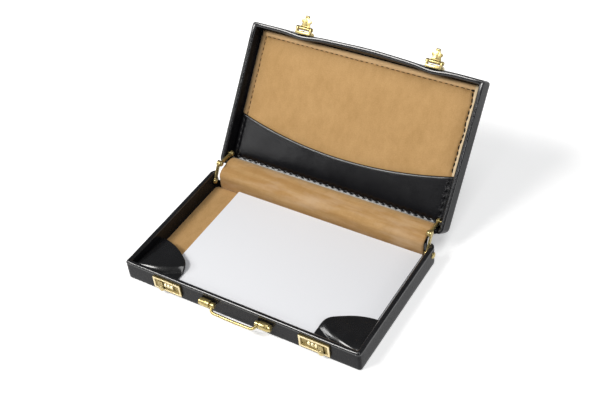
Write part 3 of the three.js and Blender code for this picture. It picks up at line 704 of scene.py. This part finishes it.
def stitches(points, length, pitch, radius_at):
    """Short lengths of thread along a path of (x, y, z) points, each dipping in at its ends. Their
    thickness goes by where they are along X."""
    parts = []
    along = 0.0
    pts = [Vector(p) for p in points]
    lengths = [0.0]
    for a, b in zip(pts, pts[1:]):
        lengths.append(lengths[-1] + (b - a).length)

    def at(s):
        k = min(max(int(np.searchsorted(lengths, s)), 1), len(pts) - 1)
        span = lengths[k] - lengths[k - 1]
        return pts[k - 1].lerp(pts[k], (s - lengths[k - 1]) / span if span else 0)

    while along + length < lengths[-1]:
        path, radii = [], []
        radius = radius_at(at(along).x)
        for k in range(6):
            t = k / 5
            p = at(along + length * t)
            dip = (abs(2 * t - 1) ** 3) * radius * 1.6
            path.append((p.x, p.y, p.z + dip))
            radii.append(radius * (0.55 + 0.45 * sin(pi * t)))
        parts.append(tube(path, radii, 6))
        along += pitch
    return joined(*parts)


def steps(start, stop, step):
    """Evenly spaced numbers from start, short of stop."""
    return [start + step * k for k in range(ceil((stop - start) / step - 1e-9))]


def panel_seam():
    """The path of the stitch line: up the left, along the front and down the right."""
    front_y = PANEL_FRONT + SEAM_INSET

    def x_at(sign, y):
        return sign * (PANEL_HALF - seam_inset(sign * 48, y))

    def y_at(x):
        return PANEL_FRONT + seam_inset(min(x, LOOSE_FROM - 1), front_y)

    path = [(x_at(-1, y), y) for y in steps(SEAM_STOP, front_y, -0.5)]
    path += [(x, y_at(x)) for x in steps(x_at(-1, front_y), PANEL_HALF - SEAM_INSET, 0.5)]
    path += [(x_at(1, y), y) for y in steps(front_y, SEAM_STOP, 0.5)]
    return [(x, y, panel_height(x, y) - 0.1) for x, y in path]


def panel_thread(x):
    """How thick the thread is: it stands out more down the right side."""
    return 0.46 if x > 45 else 0.2


piece("panel_stitches", stitches(panel_seam(), PANEL_STITCH, PANEL_PITCH, panel_thread), BROWN_THREAD, "lid",
      slot="velvet_lining", lid=True)


POCKET_HALF = 49.3
POCKET_FOOT = REAR - 2.7
POCKET_SIDE, POCKET_MIDDLE = 20.0, 13.5
POCKET_SEAM = 1.9
POCKET_STITCH, POCKET_PITCH = 1.7, 2.9
SEAM_START = POCKET_SIDE - 1.2


def pull_in(along):
    """How hard the thread pulls the leather in, from 0 between stitches to 1 at the middle of one."""
    return 0.5 + 0.5 * cos(2 * pi * (along - POCKET_STITCH / 2) / POCKET_PITCH)


def pocket_height_at(x):
    """How high the pocket's mouth is over its foot: an arc, lowest in the middle."""
    dip = POCKET_SIDE - POCKET_MIDDLE
    radius = (POCKET_HALF ** 2 + dip ** 2) / (2 * dip)
    return POCKET_MIDDLE + radius - sqrt(radius ** 2 - x ** 2)


def pocket_rise(x, b):
    """How far the pocket leather stands off the back of the panel, b up from its stitched foot."""
    a, c = POCKET_HALF - abs(x), pocket_height_at(x) - b
    puff = soft((b - POCKET_SEAM + 0.4) / 2.6) * (0.35 * soft(a / 3.2) + 0.6 * soft(a / 14)) if b > 1.5 else 0
    foot_from = SEAM_START - POCKET_SEAM + POCKET_HALF - POCKET_SEAM
    side_from = SEAM_START - b if x < 0 else foot_from + POCKET_HALF - 2 * POCKET_SEAM + b
    foot_seam = hump(b - POCKET_SEAM, 0.55) * 0.5 * pull_in(foot_from + x) ** 2
    side_seam = hump(a - POCKET_SEAM, 0.5) * (0.1 + 0.12 * pull_in(side_from)) * smooth((c - 0.5) / 1.5)
    foot_bead = 0.26 * min(max((1.35 - b) / 1.1, 0), 1) * soft((b + 0.04) / 0.08)
    mouth = 0.16 * (1 - soft(c / 0.3))
    waves = 0.11 * wobble(x, b, 12, 7) + 0.015 * wobble(x, b, 2.6, 8)
    return 1.15 + puff - foot_seam - side_seam + foot_bead - mouth + waves * soft(min(a, b) / 3)


def pocket(rows=56, cols=260):
    """The pocket leather, half a millimetre thick, from its foot to its mouth."""
    def place(i, j):
        x = POCKET_HALF * (2 * i / (cols - 1) - 1)
        b = j / (rows - 1) * pocket_height_at(x)
        z = PANEL_BACK - pocket_rise(x, b)
        return (x, POCKET_FOOT - b, z), (x, POCKET_FOOT - b, z + 0.5)

    return two_sided(rows, cols, place)


piece("pocket_leather", pocket(), GLOSS_LEATHER, "lid", ["lid_pocket"], "pocket_leather",
      lid=True, angle=75)


def pocket_seam():
    """The path of the stitch line: down the left, along the foot and up the right."""
    edge = POCKET_HALF - POCKET_SEAM
    path = [(-edge, b) for b in steps(SEAM_START, POCKET_SEAM, -0.4)]
    path += [(x, POCKET_SEAM) for x in steps(-edge, edge, 0.4)]
    path += [(edge, b) for b in steps(POCKET_SEAM, SEAM_START, 0.4)]
    return [(x, POCKET_FOOT - b, PANEL_BACK - pocket_rise(x, b) + 0.06) for x, b in path]


POCKET_THREAD = 0.24
piece("pocket_stitches", stitches(pocket_seam(), POCKET_STITCH, POCKET_PITCH, lambda x: POCKET_THREAD),
      BLACK_THREAD, "lid", slot="pocket_leather", lid=True)


# ---------------- corner flaps

# How far a flap reaches along the front wall and along the side wall, and the corner it starts from.
FLAP_FRONT, FLAP_SIDE = 19.4, 18.4
FLAP_X, FLAP_Y = 49.9, FRONT + 2.05


def flap_outline(count=60):
    """The free edge of a flap, from the front wall round to the side wall."""
    points = [(FLAP_FRONT, 4.5 * k / 8) for k in range(8)]

    def bezier(controls, t):
        pts = [Vector(c) for c in controls]
        while len(pts) > 1:
            pts = [a.lerp(b, t) for a, b in zip(pts, pts[1:])]
        return tuple(pts[0])

    first = [(FLAP_FRONT, 4.5), (FLAP_FRONT, 9.5), (17.4, 11), (13.6, 13.4)]
    second = [(13.6, 13.4), (7.0, 17.6), (0, FLAP_SIDE)]
    points += [bezier(first, k / count) for k in range(count)]
    points += [bezier(second, k / count) for k in range(count + 1)]
    return points


def flap_height(x, y, edge, sign):
    """How high the flap stands, x in from the side wall and y in from the front wall. It slopes up
    from the front wall to a ridge, falls gently behind it, and curls down at its end."""
    ridge = 1.6 + 0.0185 * x * x
    crest = 6.75 - 0.4 * smooth((x - 8) / 9)
    ahead, behind = max(ridge - y, 0), max(y - ridge, 0)
    z = crest - 0.3 * ahead - 0.7 * ahead ** 2 / ridge + 0.2 * soft(behind / 1.2) - 0.1 * behind
    z += 0.12 * wobble(x, y, 6, sign + 2) * soft(edge / 2) * soft(behind / 2)
    curl = min(max((x - 16.4) / (FLAP_FRONT - 16.3), 0), 1)
    z -= max(z - 4.9, 0) * (1 - sqrt(1 - curl ** 2))
    z -= 0.75 * (1 - soft(x / 3.2)) + 0.7 * (1 - soft(x / 0.5))
    return max(z, 4.75 + 0.1 * soft(edge))


def flap(sign, rows=70, cols=60):
    outline = np.array(flap_outline())
    ys, xs = outline[:, 1], outline[:, 0]

    def place(i, j):
        y = (FLAP_SIDE - 0.15) * (j / (rows - 1)) ** 1.4
        x = float(np.interp(y, ys, xs)) * i / (cols - 1)
        edge = float(np.sqrt(((outline - (x, y)) ** 2).sum(1)).min())
        z = flap_height(x, y, edge, sign)
        at = (sign * (FLAP_X - x), FLAP_Y + y)
        return (*at, z), (*at, max(z - 0.6, 4.2))

    return two_sided(rows, cols, place)


for side, sign in SIDES:
    piece(f"flap_{side}", flap(sign), FLAP_LEATHER, "base", [f"corner_flap_{side}"], "pocket_leather",
          angle=75)


# ---------------- hinge

def curve_through(points, count):
    """Evenly spaced points on a smooth curve through the given ones."""
    pts = [np.array(p, float) for p in points]
    pts = [2 * pts[0] - pts[1], *pts, 2 * pts[-1] - pts[-2]]
    dense = []
    for p0, p1, p2, p3 in zip(pts, pts[1:], pts[2:], pts[3:]):
        for k in range(20):
            t = k / 20
            dense.append(0.5 * (2 * p1 + (p2 - p0) * t + (2 * p0 - 5 * p1 + 4 * p2 - p3) * t * t
                                + (3 * p1 - p0 - 3 * p2 + p3) * t ** 3))
    dense.append(pts[-2])
    dense = np.array(dense)
    s = np.concatenate([[0], np.cumsum(np.linalg.norm(np.diff(dense, axis=0), axis=1))])
    even = np.linspace(0, s[-1], count)
    return [(float(np.interp(e, s, dense[:, 0])), float(np.interp(e, s, dense[:, 1]))) for e in even]


def band(path, half, thickness, bulge, rows=48, cols=96):
    """A flexible band across the case: a YZ path, drawn out along X, with soft waves in it."""
    path = curve_through(path, rows)

    def place(i, j):
        (y0, z0), (y, z), (y1, z1) = path[max(j - 1, 0)], path[j], path[min(j + 1, rows - 1)]
        length = hypot(y1 - y0, z1 - z0)
        ny, nz = -(z1 - z0) / length, (y1 - y0) / length
        x = half * (2 * i / (cols - 1) - 1)
        t = j / (rows - 1)
        free = sin(pi * t) ** 0.7
        wave = bulge * free * (wobble(x, t * 9, 13, 3) + 0.35 * wobble(x, t * 30, 4, 6))
        under = wave - thickness
        return (x, y + ny * wave, z + nz * wave), (x, y + ny * under, z + nz * under)

    return two_sided(rows, cols, place)


LINING_PATH = ((28.1, 1.6), (28.15, 5.0), (28.25, 7.7), (29.0, 9.0), (31.0, 10.0), (33.5, 10.4),
               (36.5, 10.6), (39.0, 9.8), (41.5, 7.6))
hinge_lining = piece("hinge_lining", band(LINING_PATH, 47.3, 0.6, 0.18), ROLLED_VELVET, None,
                     ["hinge_strip_base", "hinge_strip_lid"], "velvet_lining", angle=70)
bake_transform(hinge_lining)

SPINE_PATH = ((31.05, 1.3), (31.15, 4.0), (31.2, 6.4), (31.9, 8.0), (33.2, 8.6), (34.6, 8.2),
              (36.6, 6.9), (39.6, 4.6))
outer_spine = piece("outer_spine", band(SPINE_PATH, 47.4, 0.55, 0.08), LEATHERETTE, None,
                    ["hinge_spine"], "leatherette", angle=70)
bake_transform(outer_spine)


# ---------------- latches

def fitting(name, shape, body, node, material=BRASS, **finish):
    """A piece of gilt metal that takes the place of one node."""
    piece(name, shape, material, body, [node], "brass_fitting", **finish)


LATCH_AXIS = (FRONT - 2.2, LID_RIM + 1.5)
BRACKET_HALF = 3.4
LUG, LUG_RADIUS = 0.7, 0.85


def latch_bracket(x):
    """A plate on the lid's front wall with a turned edge, two screws and two lugs for the pin."""
    axis_y, axis_z = LATCH_AXIS
    face, half = FRONT - 0.2, BRACKET_HALF
    plate = block((x - half, face - 0.5, LID_RIM + 0.4), (x + half, face + 0.5, LID_RIM + 4.8))
    rim_turn = block((x - 3.0, face - 0.85, LID_RIM + 4.0), (x + 3.0, face - 0.3, LID_RIM + 4.7))
    lugs = []
    for start in (-half, half - LUG):
        r = LUG_RADIUS
        outline = [(face - 0.1, axis_z - r), (axis_y + 0.2, axis_z - r)]
        outline += [(axis_y - r * sin(t), axis_z - r * cos(t)) for t in arcs_to(pi, 10)]
        outline += [(face - 0.1, axis_z + r)]
        lugs.append(prism(outline, x + start, x + start + LUG, lambda u, v, h: (h, u, v)))
    screws = [dome_y(x + dx, face - 0.5, LID_RIM + 3.3, 0.45, 0.22) for dx in (-1.9, 1.9)]
    return joined(plate, rim_turn, *lugs, *screws)


def dome_y(x, y, z, radius, height, sides=16):
    """A round head standing out of a wall that faces the front."""
    rings = []
    for k in range(5):
        t = pi / 2 * k / 4
        r, out = radius * cos(t) + 0.002, height * sin(t)
        rings.append([(x + r * cos(a), y - out, z + r * sin(a))
                      for a in [2 * pi * s / sides for s in range(sides)]])
    return loft(rings)


def latch_hasp(x):
    """A waisted blade on a barrel, with a stiffening spine and a turned tip."""
    axis_y, axis_z = LATCH_AXIS
    barrel = turned_x(mirrored(x, [(2.4, 0.0), (2.4, 0.7), (2.3, 0.8)]), axis_y, axis_z)
    blade = mirrored(0, [(2.4, 0), (2.0, -1.2), (1.7, -2.1), (2.3, -2.6), (2.25, -3.4), (1.3, -3.7),
                         (0.7, -4.6)])
    top = axis_z + 0.8
    plate = prism(blade, top - 0.55, top, lambda u, v, h: (x + u, axis_y + v, h))
    spine = prism([(-0.4, 0.3), (-4.3, 0.05), (-4.3, 0.85), (-2.4, 1.15), (-0.4, 1.15)], x - 0.5, x + 0.5,
                  lambda u, v, h: (h, axis_y + u, axis_z + v))
    tip = turned_x(mirrored(x, [(0.95, 0.0), (0.95, 0.35), (0.8, 0.5)]), axis_y - 4.8, axis_z + 0.45, 20)
    return joined(barrel, plate, spine, tip)


def latch_pin(x):
    """A pin with a head outside each lug."""
    half = [(3.85, 0.0), (3.85, 0.45), (3.7, 0.7), (3.5, 0.75), (3.5, 0.38)]
    return turned_x(mirrored(x, half), *LATCH_AXIS, 20)


for side, sign in SIDES:
    x = LATCH_X[side]
    fitting(f"bracket_{side}", latch_bracket(x), "lid", f"latch_bracket_{side}", lid=True, bevel=0.12)
    fitting(f"pin_{side}", latch_pin(x), "lid", f"latch_pin_{side}", lid=True)
    fitting(f"hasp_{side}", latch_hasp(x), f"latch_{side}", f"latch_hasp_{side}", lid=True, bevel=0.1)


# ---------------- number locks

# Distances along a lock start at its inboard end. Its middle lies a little outboard of the latch.
LOCK_Z = 4.85
LOCK_LENGTH, LOCK_OUTBOARD = 12.8, 3.4
WHEEL_Y = FRONT + 0.05
WHEELS_AT, WHEEL_PITCH = 5.75, 1.5
AXLE_HALF, AXLE_RADIUS = 2.8, 0.35
BUTTON_AT = 9.3
PLATE_RIM, PLATE_FACE, PLATE_HOLE = 0.8, 0.45, 0.12


def along_lock(side, inset):
    """The X place a given distance from a lock plate's inboard end."""
    sign = copysign(1, LATCH_X[side])
    return LATCH_X[side] + sign * (LOCK_OUTBOARD + inset - LOCK_LENGTH / 2)


def lock_plate(side):
    """A framed plate: a recess, the wheels' window and the button's field, inside a raised rim."""
    stops = [0.0, 0.8, 0.95, 3.15, 3.3, 8.2, 8.35, 12.0, LOCK_LENGTH]
    rim, face, hole = PLATE_RIM, PLATE_FACE, PLATE_HOLE
    depth_along = [rim, face, hole, face, 0.0, face, face, rim]
    xs = [along_lock(side, s) for s in stops]
    if xs[0] > xs[-1]:
        xs, depth_along = xs[::-1], depth_along[::-1]
    zs = [LOCK_Z + d for d in (-2.85, -2.05, -1.25, 1.25, 2.05, 2.85)]
    depth = [[rim] * 5 if d == rim else [rim, face, d, face, rim] for d in depth_along]
    return stepped(xs, zs, depth, FRONT - 0.1)


def wheel(side, index):
    """A number wheel with ten notches round its rim; index 0 is the inboard one."""
    middle = along_lock(side, WHEELS_AT + WHEEL_PITCH * (index - 1))
    half = [(0.62, 0.5), (0.62, 0.88), (0.5, 1.02), (0.36, 1.05)]

    def notch(t):
        return 1 - 0.08 * (0.5 + 0.5 * cos(10 * t)) ** 4

    return turned_x(mirrored(middle, half), WHEEL_Y, LOCK_Z, 80, notch)


def wheel_axle(side):
    half = [(AXLE_HALF, 0.0), (AXLE_HALF, AXLE_RADIUS)]
    return turned_x(mirrored(along_lock(side, WHEELS_AT), half), WHEEL_Y, LOCK_Z, 16)


def lock_button(side):
    """A ribbed slide with a round thumb knob under it."""
    middle = along_lock(side, BUTTON_AT)
    face = FRONT - 0.1 - PLATE_FACE
    body = block((middle - 1.1, face - 0.45, LOCK_Z - 1.9), (middle + 1.1, face - 0.1, LOCK_Z + 1.7))
    ribs = []
    for x in (middle - 0.75, middle - 0.25, middle + 0.25, middle + 0.75):
        ribs.append(block((x - 0.15, face - 0.62, LOCK_Z - 0.6), (x + 0.15, face - 0.4, LOCK_Z + 1.5)))
    knob = dome_y(middle, face - 0.42, LOCK_Z - 2.15, 1.3, 0.75, 28)
    return joined(body, *ribs, knob)


for side, sign in SIDES:
    fitting(f"lock_{side}", lock_plate(side), "base", f"lock_plate_{side}", LOCK_BRASS, bevel=0.1)
    fitting(f"axle_{side}", wheel_axle(side), "base", f"wheel_axle_{side}")
    for index in range(3):
        name = f"wheel_{side}_{index + 1}"
        piece(f"{name}_brass", wheel(side, index), WHEEL_BRASS, name, [f"number_{name}"], "brass_wheel")
    name = f"lock_button_{side}"
    fitting(f"button_{side}", lock_button(side), name, name, BUTTON_BRASS, bevel=0.1)


# ---------------- handle

HANDLE_Y, HANDLE_Z = FRONT - 1.3, 5.3
BAIL_LEAN = radians(65)
BAIL_HALF, BAIL_LEG, BAIL_CORNER, BAIL_RADIUS = 9.9, 2.7, 1.9, 0.6


def handle_mount(sign):
    """A barrel with a collar and a bead, cut flat where it meets the front wall."""
    profile = [(11.0, 0.85), (11.0, 1.4), (11.15, 1.6), (11.8, 1.6), (11.9, 1.5), (12.1, 1.5), (12.2, 1.6),
               (14.8, 1.6), (15.0, 1.45), (15.05, 1.35), (15.65, 1.35), (15.85, 1.15), (15.9, 0.7),
               (15.9, 0.0)]
    verts, faces = turned_x([(sign * x, r) for x, r in profile], HANDLE_Y, HANDLE_Z, 40)
    return [(x, min(y, FRONT - 0.1), z) for x, y, z in verts], faces


def bail():
    """A wire handle that leans out and hangs down, with a ferrule where each end enters its mount."""
    half, leg, corner = BAIL_HALF, BAIL_LEG, BAIL_CORNER

    def at(x, along):
        return (x, HANDLE_Y - sin(BAIL_LEAN) * along, HANDLE_Z - cos(BAIL_LEAN) * along)

    bend = [(corner * (1 - cos(t)), leg - corner + corner * sin(t)) for t in arcs(8)]
    path = [at(-half, 0.0), at(-half, 0.4)]
    path += [at(-half + across, along) for across, along in bend]
    path += [at(x, leg + 0.12 * (1 - (x / 8) ** 2)) for x in (-5.5, -2.5, 0, 2.5, 5.5)]
    path += [at(half - across, along) for across, along in reversed(bend)]
    path += [at(half, 0.4), at(half, 0.0)]
    parts = [tube(path, BAIL_RADIUS, 16)]
    for sign in (-1, 1):
        ring = [(9.1, 0.3), (9.1, 0.95), (9.25, 1.15), (10.55, 1.15), (10.7, 0.95), (10.7, 0.6), (13.6, 0.6),
                (13.6, 0.0)]
        parts.append(turned_x([(sign * x, r) for x, r in ring], HANDLE_Y, HANDLE_Z, 28))
    return joined(*parts)


for side, sign in SIDES:
    fitting(f"mount_{side}", handle_mount(sign), "base", f"handle_mount_{side}")
fitting("bail", bail(), "handle", "handle_bail")


# ---------------- stays

BASE_PIVOT = (REAR - 3.1, 5.2)
ELBOW = (REAR + 1.2, 11.7)
LID_PIVOT_SHUT = (REAR - 4.7, LID_RIM + 2.6)
EYE_RADIUS, BAR_HALF, BAR_FROM = 1.3, 0.95, 0.92
SHAFT_RADIUS = 0.5

# Distances from the middle: the two links' faces, where rivets' inner heads sit, and where shafts end.
UPPER_LINK, LOWER_LINK = (48.1, 48.85), (49.0, 49.75)
UPPER_HEAD, LOWER_HEAD = 48.0, 48.9
IN_LID_WALL, OUTSIDE_BASE = 51.2, 52.05


def link(start, end, x0, x1):
    """A flat bar with two round eyes, dished a little at the waist."""
    (ya, za), (yb, zb) = start, end
    length = hypot(yb - ya, zb - za)
    uy, uz = (yb - ya) / length, (zb - za) / length
    outline = []
    for first, eye, onward, edge in ((40, 0, 1, -1), (220, length, -1, 1)):
        for k in range(13):
            t = radians(first + 280 * k / 12)
            outline.append((eye + EYE_RADIUS * cos(t), EYE_RADIUS * sin(t)))
        for k in range(1, 4):
            t = k / 4
            along = BAR_FROM + (length - 2 * BAR_FROM) * t
            outline.append((eye + onward * along, edge * (BAR_HALF - 0.1 * sin(pi * t))))
    return prism(outline, x0, x1, lambda u, v, h: (h, ya + uy * u - uz * v, za + uz * u + uy * v))


def dome(face, sign, radius, height):
    """The (x, radius) profile of a domed head that starts at face and points along sign."""
    return [(face + sign * height * sin(t), radius * cos(t)) for t in arcs(6)]


def rivet(sign, pivot, inner, outer, head, outer_head=None):
    """A rivet through a stay, from a domed head at inner out to outer. Each head is (radius, height);
    with no outer head it ends flat, inside the wall or the link."""
    profile = dome(sign * inner, -sign, *head)[::-1]
    profile += [(sign * inner, SHAFT_RADIUS), (sign * outer, SHAFT_RADIUS)]
    profile += dome(sign * outer, sign, *outer_head) if outer_head else [(sign * outer, 0.001)]
    return turned_x(profile, *pivot, 24)


for side, sign in SIDES:
    upper, lower = f"stay_upper_{side}", f"stay_lower_{side}"
    shape = rivet(sign, BASE_PIVOT, LOWER_HEAD, OUTSIDE_BASE, (1.0, 0.6), (1.35, 0.7))
    fitting(f"base_rivet_{side}", shape, "base", f"stay_base_rivet_{side}")
    shape = rivet(sign, LID_PIVOT_SHUT, UPPER_HEAD, IN_LID_WALL, (1.0, 0.6))
    fitting(f"lid_rivet_{side}", shape, "lid", f"stay_lid_rivet_{side}", lid=True)
    shape = link(BASE_PIVOT, ELBOW, *sorted(sign * x for x in LOWER_LINK))
    fitting(f"link_lower_{side}", shape, lower, lower, bevel=0.12)
    shape = link(opened((0, *LID_PIVOT_SHUT))[1:], ELBOW, *sorted(sign * x for x in UPPER_LINK))
    fitting(f"link_upper_{side}", shape, upper, upper, bevel=0.12)
    shape = rivet(sign, ELBOW, UPPER_HEAD, LOWER_HEAD, (1.15, 0.8))
    fitting(f"elbow_rivet_{side}", shape, upper, f"stay_elbow_rivet_{side}")


# ---------------- floor, light and camera

FLOOR_GLOW, AIR_LIGHT = 0.42, 0.10


def studio():
    """A pale floor just under the case, faint light from all round, and rectangular lamps."""
    s = Shader("floor", Roughness=0.7, Specular_IOR_Level=0.3, Emission_Strength=FLOOR_GLOW)
    s.set("Base Color", s.blend(s.noise(60.0, 2), (0.92, 0.92, 0.92), (0.94, 0.94, 0.94)))
    s.surface.inputs["Emission Color"].default_value = (1, 1, 1, 1)
    bpy.ops.mesh.primitive_plane_add(size=4, location=(0, 0, -0.0002))
    floor = bpy.context.object
    floor.name = "floor"
    floor.data.materials.append(s.material)

    world = bpy.data.worlds.new("studio")
    bpy.context.scene.world = world
    world.use_nodes = True
    air = world.node_tree.nodes["Background"]
    air.inputs["Color"].default_value = (0.93, 0.96, 1.0, 1)
    air.inputs["Strength"].default_value = AIR_LIGHT

    def lamp(name, at, toward, size, power, color=(1, 1, 1)):
        """A lamp at a place in metres, facing another, of a size in metres and a power in watts."""
        data = bpy.data.lights.new(name, "AREA")
        data.shape = "RECTANGLE"
        data.size, data.size_y = size
        data.energy = power
        data.color = color
        obj = placed(name, data)
        obj.location = at
        obj.rotation_euler = (Vector(toward) - Vector(at)).to_track_quat("-Z", "Y").to_euler()

    lamp("key", (-0.44, -0.50, 0.79), (0, 0, 0.01), (0.42, 0.28), 7.1, (1, 0.985, 0.96))
    lamp("top", (0.30, 0.02, 1.0), (0, 0, 0.01), (0.5, 0.5), 3.6)
    lamp("gloss", (-0.60, -0.70, 0.44), (-0.02, 0.04, 0.03), (0.18, 0.18), 0.36)
    lamp("glint", (-0.24, -0.78, 0.51), (0.03, 0.04, 0.03), (0.08, 0.08), 0.05)
    lamp("edge", (0.10, -0.80, 0.63), (0.05, 0.04, 0.05), (0.06, 0.06), 0.3)
    lamp("left", (-0.84, -0.30, 0.48), (0.03, -0.02, 0.01), (0.20, 0.20), 1.5)
    lamp("side", (0.75, -0.2, 0.40), (0, 0, 0.02), (0.2, 0.3), 0.7, (0.96, 0.98, 1))


studio()

CAMERA_AT = Vector((0.17780, -0.22878, 0.29541))
CAMERA_FORWARD = Vector((-0.4343, 0.6026, -0.6695))
CAMERA_ROLL = radians(-7.06)
CAMERA_LENS = 63.53
camera_data = bpy.data.cameras.new("camera")
camera_data.lens = CAMERA_LENS
camera_data.clip_start = 0.01
camera = placed("camera", camera_data)
camera.location = CAMERA_AT
camera.rotation_mode = "QUATERNION"
camera.rotation_quaternion = CAMERA_FORWARD.to_track_quat("-Z", "Y") @ Quaternion((0, 0, 1), CAMERA_ROLL)
bpy.context.scene.camera = camera
bpy.context.scene.view_settings.view_transform = "Standard"
